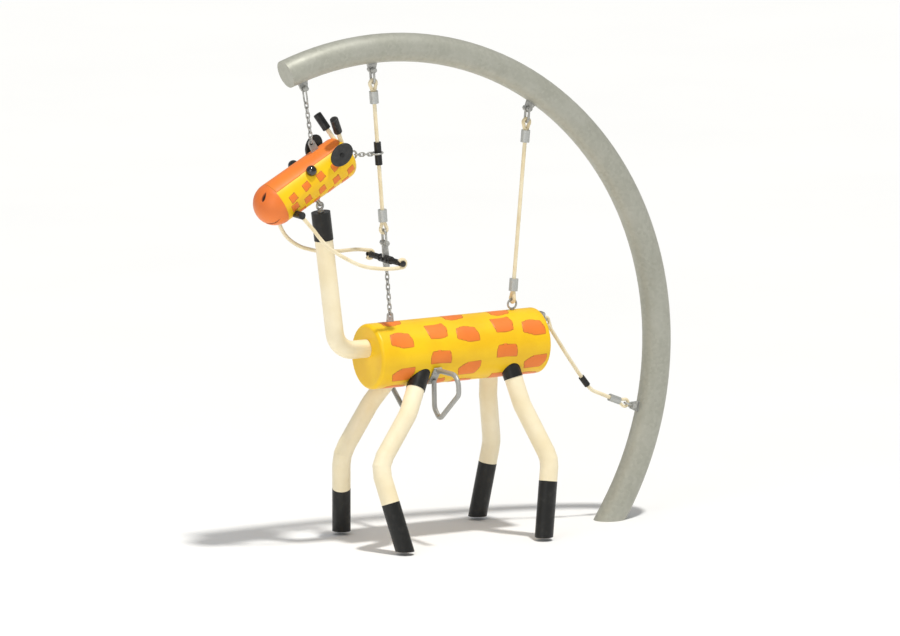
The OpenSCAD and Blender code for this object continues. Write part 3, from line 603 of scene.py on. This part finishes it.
tail_end = Vector(TAIL_LOWER[-1])
tail_run = [tuple(tail_end.lerp(TAIL_POST, k / TAIL_RUN_STEPS * TAIL_RUN_SHARE))
            for k in range(1, TAIL_RUN_STEPS + 1)]
tail_rope("tail_upper_laid", "tail_upper", TAIL_UPPER, TAIL_HIP, TAIL_BEND, "tail_rope_upper")
tail_rope("tail_lower_laid", "tail_lower", TAIL_LOWER + tail_run, TAIL_POST, tail_end, "tail_rope_lower")


# ---- the giraffe's markings ----

shell_low, shell_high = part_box("body_shell")
BODY_R = (shell_high.z - shell_low.z) / 2
BODY_Z = (shell_high.z + shell_low.z) / 2
BODY_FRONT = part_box("body_front_cap")[0].x
BODY_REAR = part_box("body_rear_cap")[1].x


def on_body(along, arc, lift):
    """A point on the body: along in metres from the front face, arc in metres up from the left side."""
    a = arc / BODY_R
    r = BODY_R + lift
    return Vector((BODY_FRONT + along, -r * math.cos(a), BODY_Z + r * math.sin(a)))


def on_head(along, arc, lift):
    """A point on the head: along its profile from the muzzle joint, round the rear edge if needed."""
    straight = HEAD_LEN - HEAD_ROUND
    x, r, out_x, out_r = along, HEAD_R, 0.0, 1.0
    if along > straight:
        turn = min((along - straight) / HEAD_ROUND, math.pi / 2)
        out_x, out_r = math.sin(turn), math.cos(turn)
        x = straight + HEAD_ROUND * out_x
        r = HEAD_R - HEAD_ROUND + HEAD_ROUND * out_r
    a = arc / HEAD_R
    r += lift * out_r
    return HEAD @ Vector((x + lift * out_x, -r * math.cos(a), r * math.sin(a)))


def rounded_outline(corners, radius, steps=4):
    """The outline with each corner turned into a short arc-like curve."""
    out = []
    count = len(corners)
    for i, corner in enumerate(corners):
        before, after = corners[i - 1], corners[(i + 1) % count]
        to_before, to_after = before - corner, after - corner
        a = corner + to_before.normalized() * min(radius, to_before.length / 2.2)
        b = corner + to_after.normalized() * min(radius, to_after.length / 2.2)
        for k in range(steps + 1):
            t = k / steps
            out.append(a * (1 - t) ** 2 + corner * 2 * t * (1 - t) + b * t * t)
    return out


def marking(name, corners, surface, body, radius=0.006, cell=0.006):
    """A thin raised patch that follows a curved surface, with a bevelled edge painted darker orange as shade."""
    flat = rounded_outline([Vector(c) for c in corners], radius)
    bm = bmesh.new()
    bm.faces.new([bm.verts.new((p.x, p.y, 0)) for p in flat])
    for axis in (0, 1):
        low = min(v.co[axis] for v in bm.verts)
        high = max(v.co[axis] for v in bm.verts)
        normal = Vector((axis == 0, axis == 1, 0))
        for k in range(1, int((high - low) / cell) + 1):
            point = Vector((0, 0, 0))
            point[axis] = low + k * cell
            if point[axis] < high - 1e-4:
                parts = list(bm.verts) + list(bm.edges) + list(bm.faces)
                bmesh.ops.bisect_plane(bm, geom=parts, plane_co=point, plane_no=normal)
    bmesh.ops.inset_region(bm, faces=list(bm.faces), thickness=PATCH_EDGE, use_even_offset=True)
    rim = {v for e in bm.edges if e.is_boundary for v in e.verts}
    for face in bm.faces:
        # painted shade: faces on the bevelled rim take the darker orange
        face.material_index = int(any(v in rim for v in face.verts))
    for v in bm.verts:
        v.co = surface(v.co.x, v.co.y, PATCH_SKIRT if v in rim else PATCH_LIFT)
    piece = finish_piece(name, bm, body, ORANGE)
    piece.data.materials.append(ORANGE_RIM_SHADE)


# corners of the body's markings: millimetres along, degrees round
BODY_SHAPES = {
    "a": [(0, 27), (9, 48), (48, 52), (96, 47), (109, 32), (106, 20), (60, 18)],
    "b": [(1, 61), (44, 61), (90, 64), (101, 51), (92, 33), (54, 29), (10, 31)],
    "c": [(12, 10), (46, 11), (95, 8), (102, -6), (98, -16), (48, -13), (2, -14), (0, -3)],
    "d": [(0, -26), (36, -16), (106, -14), (107, -28), (88, -44), (14, -45)],
    "e": [(4, 97), (101, 92), (87, 73), (28, 67), (0, 74)],
}
TILE = 302                                   # the pattern repeats along the body
TILE_START = 43
SHAPE_AT = {"a": 0, "b": 174, "c": 173, "d": 3, "e": 8}
TOP_SHAPE_STARTS = (8, 292, 502)             # the topmost shape doesn't keep to the tile
FRONT_MARGIN = 22                            # no marking comes nearer to the body's ends than these
REAR_MARGIN = 14
RINGS = [("d", 0), ("c", 0), ("a", 0), ("b", 0), ("e", 0), ("c", 128), ("a", 122), ("b", 120), ("e", 124),
         ("c", 245), ("a", 252), ("b", 250)]


def body_markings():
    body_mm = (BODY_REAR - BODY_FRONT) * 1000
    for ring, (shape, turn) in enumerate(RINGS):
        for tile in range(-1, 3):
            start = TILE_START + SHAPE_AT[shape] + TILE * tile
            if (shape, turn) == ("e", 0) and tile >= 0:
                start = TILE_START + TOP_SHAPE_STARTS[tile]
            corners = [(start + along, degrees + turn) for along, degrees in BODY_SHAPES[shape]]
            places = [along for along, degrees in corners]
            if min(places) < FRONT_MARGIN or max(places) > body_mm - REAR_MARGIN:
                continue
            flat = [(along / 1000, math.radians(degrees) * BODY_R) for along, degrees in corners]
            marking(f"marking_{shape}{ring}_{tile + 1}", flat, on_body, "giraffe")


body_markings()


# rows of squares on the head: the first one's millimetres along and degrees round, and how many
HEAD_ROWS = [(47, 6, 1), (120, 12, 3), (40, -20, 1), (104, -24, 4), (74, -53, 4), (112, -84, 3)]
SQUARE_PITCH = 73


def head_markings():
    """Small squares on both cheeks and under the jaw, in staggered rows."""
    count = 0
    for side in (0, 1):
        for start, degrees, number in HEAD_ROWS:
            for k in range(number):
                along = start + SQUARE_PITCH * k
                wobble = rng.uniform(-1.5, 1.5)
                corners = [(along - 20, degrees + 10 + wobble), (along + 15, degrees + 14),
                           (along + 21, degrees - 8 - wobble), (along - 15, degrees - 14)]
                if side:
                    corners = [(x, 180 - d) for x, d in corners]
                flat = [(x / 1000, math.radians(d) * HEAD_R) for x, d in corners]
                count += 1
                marking(f"cheek_marking_{count}", flat, on_head, "head", radius=0.0025, cell=0.005)


head_markings()

BAND_EDGE = [(-0.001, 43), (0.080, 45), (0.200, 47), (0.290, 48), (0.325, 52), (0.345, 59), (0.352, 68)]


def crown_band():
    """The orange band along the top of the head."""
    right = [(x, math.radians(180 - d) * HEAD_R) for x, d in BAND_EDGE]
    left = [(x, math.radians(d) * HEAD_R) for x, d in BAND_EDGE]
    marking("crown_band", left + list(reversed(right)), on_head, "head", radius=0.004, cell=0.004)


crown_band()


# ---- the muzzle, with carved nostrils and mouth, and painted shade inside them ----

NOSTRIL = (Vector((-0.061, 0.035, 0.050)), Vector((-0.021, 0.031, 0.077)))
NOSTRIL_HALF = 0.0084
NOSTRIL_DEPTH = 0.009
NOSTRIL_SKEW = 0.72                          # under 1 puts the widest place nearer the lower end
NOSTRIL_LIP = 0.0022
NOSTRIL_LEAST = 0.0008
MOUTH = (
    Vector((-0.0285, 0.0745, -0.0317)), Vector((-0.044, 0.0595, -0.044)),
    Vector((-0.0539, 0.044, -0.0506)), Vector((-0.064, 0.029, -0.050)),
    Vector((-0.0695, 0.014, -0.0488)), Vector((-0.0712, 0, -0.0483)),
)
MOUTH_HALF = 0.0048
MOUTH_DEPTH = 0.0055
MOUTH_LIP = 0.0018
MUZZLE_GRID = (110, 288)                     # rows from the tip back, and columns round


def nostril_depth(p):
    low, high = NOSTRIL
    q = Vector((p.x, abs(p.y), p.z))
    along = (q - low).dot(high - low) / (high - low).length_squared
    if not 0 < along < 1:
        return 0.0
    across = (q - low.lerp(high, along)).length
    half = NOSTRIL_HALF * math.sin(math.pi * along ** NOSTRIL_SKEW)
    if half <= NOSTRIL_LEAST:
        return 0.0
    return max(0.0, min(1.0, (half - across) / NOSTRIL_LIP + 0.5))


def mouth_depth(p):
    """A crescent that is widest in the middle and runs out at the corners of the mouth."""
    if p.z > -0.02 or p.x > -0.02:
        return 0.0
    q = Vector((p.x, abs(p.y), p.z))
    best = 0.0
    for k, (a, b) in enumerate(zip(MOUTH, MOUTH[1:])):
        along = max(0.0, min(1.0, (q - a).dot(b - a) / (b - a).length_squared))
        share = (k + along) / (len(MOUTH) - 1)
        half = MOUTH_HALF * min(1.0, 0.12 + 1.5 * share)
        across = (q - a.lerp(b, along)).length
        best = max(best, min(1.0, (half - across) / MOUTH_LIP + 0.5))
    return best


def muzzle():
    bm = bmesh.new()
    # how far a point lies inside a nostril or the mouth; the muzzle's material paints shade there
    recess_shade_mask = bm.verts.layers.float.new("recess_shade_mask")
    skin = HEAD_R + PATCH_LIFT
    rows, columns = MUZZLE_GRID
    rings = []
    for i in range(1, rows + 1):
        polar = math.pi / 2 * i / rows
        ring = []
        for k in range(columns):
            a = 2 * math.pi * k / columns
            out = Vector((-math.cos(polar), math.sin(polar) * math.cos(a), math.sin(polar) * math.sin(a)))
            p = out * skin
            nostril, mouth = nostril_depth(p), mouth_depth(p)
            v = bm.verts.new(p - out * (NOSTRIL_DEPTH * nostril + MOUTH_DEPTH * mouth))
            v[recess_shade_mask] = max(nostril, mouth)
            ring.append(v)
        rings.append(ring)
    tip = bm.verts.new((-skin, 0, 0))
    for k in range(columns):
        bm.faces.new((tip, rings[0][k], rings[0][(k + 1) % columns]))
    for lower, upper in zip(rings, rings[1:]):
        for k in range(columns):
            n = (k + 1) % columns
            bm.faces.new((lower[k], lower[n], upper[n], upper[k]))
    rim = [bm.verts.new((0.0, v.co.y * 0.985, v.co.z * 0.985)) for v in rings[-1]]
    for k in range(columns):
        n = (k + 1) % columns
        bm.faces.new((rings[-1][k], rings[-1][n], rim[n], rim[k]))
    bmesh.ops.transform(bm, matrix=HEAD, verts=bm.verts)
    finish_piece("muzzle_carved", bm, "head", MUZZLE, replaces=("muzzle",))


muzzle()


# ---- ears ----

EAR_AT = Vector((0.302, 0.112, 0.055))
EAR_YAW = math.radians(14)
EAR_STRETCH = 1.16
EAR_SMALL = 0.035                            # the radii of the outline's two circles
EAR_LARGE = 0.041
EAR_TURN = math.radians(39)
# the plate's rounded edge: how far in from the outline, and how far from the middle plane
EAR_EDGE = [
    (0.014, 0.0058), (0.007, 0.0066), (0.0035, 0.0066), (0.0015, 0.0056), (0.0004, 0.0040), (0, 0.0015),
]


def ear_outline(inset, steps=72):
    """An egg: two circles, the larger one up and back."""
    out = []
    for k in range(steps):
        a = 2 * math.pi * k / steps
        share = 0.5 + 0.5 * math.cos(a - EAR_TURN)
        centre = Vector((-0.010, -0.008)).lerp(Vector((0.005, 0.004)), share)
        r = EAR_SMALL + (EAR_LARGE - EAR_SMALL) * share - inset
        out.append(centre + r * Vector((EAR_STRETCH * math.cos(a), math.sin(a))))
    return out


def ear(name, side):
    bm = bmesh.new()
    profile = EAR_EDGE + [(inset, -z) for inset, z in reversed(EAR_EDGE)]
    rings = [[bm.verts.new((p.x, z, p.y)) for p in ear_outline(inset)] for inset, z in profile]
    for lower, upper in zip(rings, rings[1:]):
        for k in range(len(lower)):
            n = (k + 1) % len(lower)
            bm.faces.new((lower[k], lower[n], upper[n], upper[k]))
    bm.faces.new(rings[0])
    bm.faces.new(list(reversed(rings[-1])))
    place = Vector((EAR_AT.x, side * EAR_AT.y, EAR_AT.z))
    turn = Matrix.Rotation(side * EAR_YAW, 4, "Z")
    bmesh.ops.transform(bm, matrix=HEAD @ Matrix.Translation(place) @ turn, verts=bm.verts)
    finish_piece(name, bm, "head", EAR_PLASTIC, replaces=("ears",))


ear("left_ear_plate", -1)
ear("right_ear_plate", 1)


# ---- handle ----

GRIP_START = 0.0443
GRIP_LEN = 0.074
GRIP_R = 0.012
GRIP_RIBS = 9
GRIP_FLANGE = 0.005


def grip_profile():
    """A ribbed rubber grip between two flanges."""
    flange, valley, end = GRIP_R + 0.0005, GRIP_R - 0.0012, GRIP_R - 0.002
    pitch = (GRIP_LEN - 2 * GRIP_FLANGE) / GRIP_RIBS
    profile = [(end, 0), (flange, 0.001), (flange, 0.0035), (valley, GRIP_FLANGE)]
    for k in range(GRIP_RIBS):
        z = GRIP_FLANGE + k * pitch
        profile += [(valley, z + 0.15 * pitch), (GRIP_R, z + 0.3 * pitch)]
        profile += [(GRIP_R, z + 0.75 * pitch), (valley, z + 0.9 * pitch)]
    return profile + [(flange, GRIP_LEN - 0.0035), (flange, GRIP_LEN - 0.001), (end, GRIP_LEN)]


for hand, side in (("left", -1), ("right", 1)):
    grip = lathe(grip_profile(), 40)
    turn = Matrix.Rotation(math.radians(-90 * side), 4, "X")
    place = Matrix.Translation(Vector((0, side * GRIP_START, -HANDLE_AT)))
    bmesh.ops.transform(grip, matrix=FRONT @ place @ turn, verts=grip.verts)
    finish_piece(f"{hand}_grip", grip, "front_hanger", RUBBER, replaces=("handle_grips",))


def bolt_head(radius, height):
    """A domed hexagonal bolt head on a washer, standing along +Z."""
    bm = lathe([(radius * 1.45, 0), (radius * 1.5, 0.0004), (radius * 1.5, 0.0014), (radius * 1.42, 0.0018),
                (radius * 0.3, 0.0018)], 32)
    head = lathe([(radius * 0.98, 0.0018), (radius, 0.0022), (radius, height - 0.001),
                  (radius * 0.86, height), (radius * 0.2, height + 0.0003)], 6)
    join_bmesh(bm, head)
    return bm


def fastener(name, body, place, direction, radius=0.005, height=0.005, look=None):
    bm = bolt_head(radius, height)
    turn = Vector((0, 0, 1)).rotation_difference(direction.normalized()).to_matrix().to_4x4()
    bmesh.ops.transform(bm, matrix=Matrix.Translation(place) @ turn, verts=bm.verts)
    finish_piece(name, bm, body, look or ZINC, smooth=False)


BLOCK_HALF = 0.044
BLOCK_R = 0.0160
GROOVE_R = 0.0148
BOLT_PLACES = (-0.030, 0.0, 0.030)           # along the block, each in a groove
BAR_R = 0.008
BAR_HALF = 0.1375
DISC_AT = 0.138
TAB_LOW = FRONT_LEN - FRONT_CHAIN - 0.0017


def handle_block():
    """The handle's moulded middle, its bar and the discs that keep the grips on."""
    end_r = BLOCK_R - 0.0005
    profile = [(end_r, -BLOCK_HALF), (BLOCK_R, -BLOCK_HALF + 0.0015)]
    for z in BOLT_PLACES:
        profile += [(BLOCK_R, z - 0.002), (GROOVE_R, z - 0.001), (GROOVE_R, z + 0.001), (BLOCK_R, z + 0.002)]
    profile += [(BLOCK_R, BLOCK_HALF - 0.0015), (end_r, BLOCK_HALF)]
    bm = lathe(profile, 48)
    join_bmesh(bm, lathe([(BAR_R, -BAR_HALF), (BAR_R, BAR_HALF)], 32))
    for z in (-DISC_AT, DISC_AT):
        disc = [(0.0112, z - 0.002), (0.012, z - 0.0012), (0.012, z + 0.0012), (0.0112, z + 0.002)]
        join_bmesh(bm, lathe(disc, 32))
    place = Matrix.Translation(Vector((0, 0, -HANDLE_AT)))
    turn = Matrix.Rotation(math.radians(90), 4, "X")
    bmesh.ops.transform(bm, matrix=FRONT @ place @ turn, verts=bm.verts)
    finish_piece("handle_block", bm, "front_hanger", PLASTIC, replaces=("handle_core",))


def eye_plate(name, radius, hole, thick, eye_z, end_z):
    """A forged plate with a round eye at eye_z that runs to end_z."""
    steps = 32
    down = 1 if eye_z > end_z else -1
    outline, inner = [], []
    for k in range(steps + 1):
        a = math.pi * k / steps
        out = Vector((math.cos(a), 0, down * math.sin(a)))
        outline.append(Vector((0, 0, eye_z)) + radius * out)
        inner.append(Vector((0, 0, eye_z)) + hole * out)
    for k in range(1, steps):
        a = math.pi * k / steps
        inner.append(Vector((-hole * math.cos(a), 0, eye_z - down * hole * math.sin(a))))
    bm = bmesh.new()
    lower = [Vector((-radius - 0.002, 0, end_z)), Vector((radius + 0.002, 0, end_z))]
    shapes = []
    for y in (-thick / 2, thick / 2):
        rim = [bm.verts.new(p + Vector((0, y, 0))) for p in outline + lower]
        eye = [bm.verts.new(p + Vector((0, y, 0))) for p in inner]
        shapes.append((rim, eye))
        for k in range(steps):
            bm.faces.new((rim[k], rim[k + 1], eye[k + 1], eye[k]))
        far_half = eye[steps:] + [eye[0]]
        bm.faces.new(rim[steps:] + [rim[0]] + list(reversed(far_half)))
    for first, second in zip(*shapes):
        for k in range(len(first)):
            n = (k + 1) % len(first)
            bm.faces.new((first[k], first[n], second[n], second[k]))
    bmesh.ops.transform(bm, matrix=FRONT, verts=bm.verts)
    finish_piece(name, bm, "front_hanger", ZINC, smooth=False, replaces=("handle_core",))


handle_block()
eye_plate("handle_upper_plate", 0.012, 0.0063, 0.008, -HANDLE_AT + SHACKLE_RISE, -HANDLE_AT + 0.010)
eye_plate("handle_lower_plate", 0.013, 0.0055, 0.005, -TAB_LOW, -HANDLE_AT - 0.010)

for k, y in enumerate(BOLT_PLACES):
    out = FRONT.to_3x3() @ Vector((-1, 0, 0))
    place = FRONT @ Vector((-0.0158, y, -HANDLE_AT))
    fastener(f"handle_bolt_{k + 1}", "front_hanger", place, out, 0.0045, 0.005, PLASTIC)

# ---- weld beads where the lugs meet the arch ----

ARCH_R = 1.281
ARCH_Z = 0.714
POST_R = 0.05715
ARCH_X = -1.0646
LUG_HALF_T = 0.005
LUGS = {"head_chain": 106.4, "front_rope": 91.4, "rear_rope": 55.2, "tail": -12.6}     # degrees round
WELD_LEN = 0.043
WELD_STEPS = 24
WELD_OUT = 0.0015                            # from the lug's face to the bead's middle
WELD_R = 0.0026
WELD_RIPPLE = 0.0005
WELD_END_R = 0.0008
WELD_SIDES = 10


def weld_bead(name, degrees):
    """Rippled fillet welds down both faces of a lug."""
    bm = bmesh.new()
    for side in (-1, 1):
        path = []
        for k in range(WELD_STEPS + 1):
            a = math.radians(degrees) + (k / WELD_STEPS - 0.5) * WELD_LEN / (ARCH_R - POST_R)
            y = side * (LUG_HALF_T + WELD_OUT)
            r = ARCH_R - math.sqrt(POST_R ** 2 - y ** 2)
            path.append(Vector((ARCH_X + r * math.cos(a), y, ARCH_Z + r * math.sin(a))))
        bead = bmesh.new()
        frames = path_frames(path)
        rings = []
        for i, (point, (across, up)) in enumerate(zip(path, frames)):
            radius = WELD_R + WELD_RIPPLE * math.sin(i * 2.1)
            if i in (0, WELD_STEPS):
                radius = WELD_END_R
            turns = [2 * math.pi * n / WELD_SIDES for n in range(WELD_SIDES)]
            rings.append([bead.verts.new(point + radius * (math.cos(t) * across + math.sin(t) * up))
                          for t in turns])
        for lower, upper in zip(rings, rings[1:]):
            for n in range(WELD_SIDES):
                m = (n + 1) % WELD_SIDES
                bead.faces.new((lower[n], lower[m], upper[m], upper[n]))
        bead.faces.new(rings[0])
        bead.faces.new(rings[-1])
        join_bmesh(bm, bead)
    finish_piece(name, bm, "post", WELD)


for lug_name, lug_angle in LUGS.items():
    weld_bead(f"{lug_name}_lug_weld", lug_angle)

# ---- bolts on the stirrup plates ----

STIRRUP_X = -0.868
PLATE_ANGLE = math.radians(38)
PLATE_OUT = BODY_R + 0.0063
BOLT_APART = 0.022
BOLT_UP = 0.014

for hand, side in (("left", -1), ("right", 1)):
    out = Vector((0, side * math.cos(PLATE_ANGLE), -math.sin(PLATE_ANGLE)))
    up = Vector((0, side * math.sin(PLATE_ANGLE), math.cos(PLATE_ANGLE)))
    for k, x in enumerate((-BOLT_APART / 2, BOLT_APART / 2)):
        place = Vector((STIRRUP_X + x, 0, BODY_Z)) + out * PLATE_OUT + up * BOLT_UP
        fastener(f"{hand}_stirrup_bolt_{k + 1}", "giraffe", place, out, 0.004, 0.004)

# ---- camera, light and floor ----

CAMERA_AZIMUTH = math.radians(-30)
CAMERA_ELEVATION = math.radians(10)
CAMERA_DISTANCE = 80.0
PICTURE_WIDTH = 3.600
SENSOR = 36
LOOK_RIGHT = -0.6384                         # the picture's middle, in metres across and up
LOOK_UP = 0.8044
right = Vector((math.cos(CAMERA_AZIMUTH), math.sin(CAMERA_AZIMUTH), 0))
toward = Vector((math.sin(CAMERA_AZIMUTH) * math.cos(CAMERA_ELEVATION),
                 -math.cos(CAMERA_AZIMUTH) * math.cos(CAMERA_ELEVATION), math.sin(CAMERA_ELEVATION)))
lens_up = toward.cross(right)
target = LOOK_RIGHT * right + LOOK_UP * lens_up

camera_data = bpy.data.cameras.new("camera")
camera_data.sensor_width = SENSOR
camera_data.lens = SENSOR * CAMERA_DISTANCE / PICTURE_WIDTH
camera_data.clip_end = 300
camera = bpy.data.objects.new("camera", camera_data)
bpy.context.scene.collection.objects.link(camera)
camera.matrix_world = Matrix.Translation(target + toward * CAMERA_DISTANCE) @ Matrix(
    (right, lens_up, toward)).transposed().to_4x4()
bpy.context.scene.camera = camera


def floor():
    look = Look("studio_floor", (0.93, 0.93, 0.92), 0.75, 0.0)
    look.colour(look.ramp(look.noise(0.8, 3), (0.3, (0.92, 0.92, 0.915)), (0.7, (0.94, 0.94, 0.935))))
    bm = bmesh.new()
    bmesh.ops.create_circle(bm, cap_ends=True, radius=40, segments=96)
    mesh = bpy.data.meshes.new("studio_floor")
    bm.to_mesh(mesh)
    bm.free()
    mesh.materials.append(look.mat)
    plane = bpy.data.objects.new("studio_floor", mesh)
    plane.location = (-0.6, 0, cad_box[0].z - 0.0005)
    bpy.context.scene.collection.objects.link(plane)


def light(name, kind, energy, direction, angle=None, size=None, distance=5.0, colour=(1, 1, 1)):
    data = bpy.data.lights.new(name, kind)
    data.energy = energy
    data.color = colour
    if angle is not None:
        data.angle = math.radians(angle)
    if size is not None:
        data.shape = "DISK"
        data.size = size
    lamp = bpy.data.objects.new(name, data)
    travel = Vector(direction).normalized()
    lamp.location = Vector((-0.7, 0, 1.0)) - travel * distance
    lamp.rotation_euler = travel.to_track_quat("-Z", "Y").to_euler()
    bpy.context.scene.collection.objects.link(lamp)


floor()
light("key", "SUN", 2.3, (-0.06, 0.25, -0.97), angle=4, colour=(1.0, 0.985, 0.95))
light("fill", "AREA", 38, (0.75, 0.55, -0.35), size=3.0, distance=4.5)

world = bpy.data.worlds.new("studio")
world.use_nodes = True
world.node_tree.nodes["Background"].inputs["Color"].default_value = (0.97, 0.985, 1.0, 1)
world.node_tree.nodes["Background"].inputs["Strength"].default_value = 0.42
bpy.context.scene.world = world
bpy.context.scene.view_settings.view_transform = "Standard"
bpy.context.scene.view_settings.look = "None"
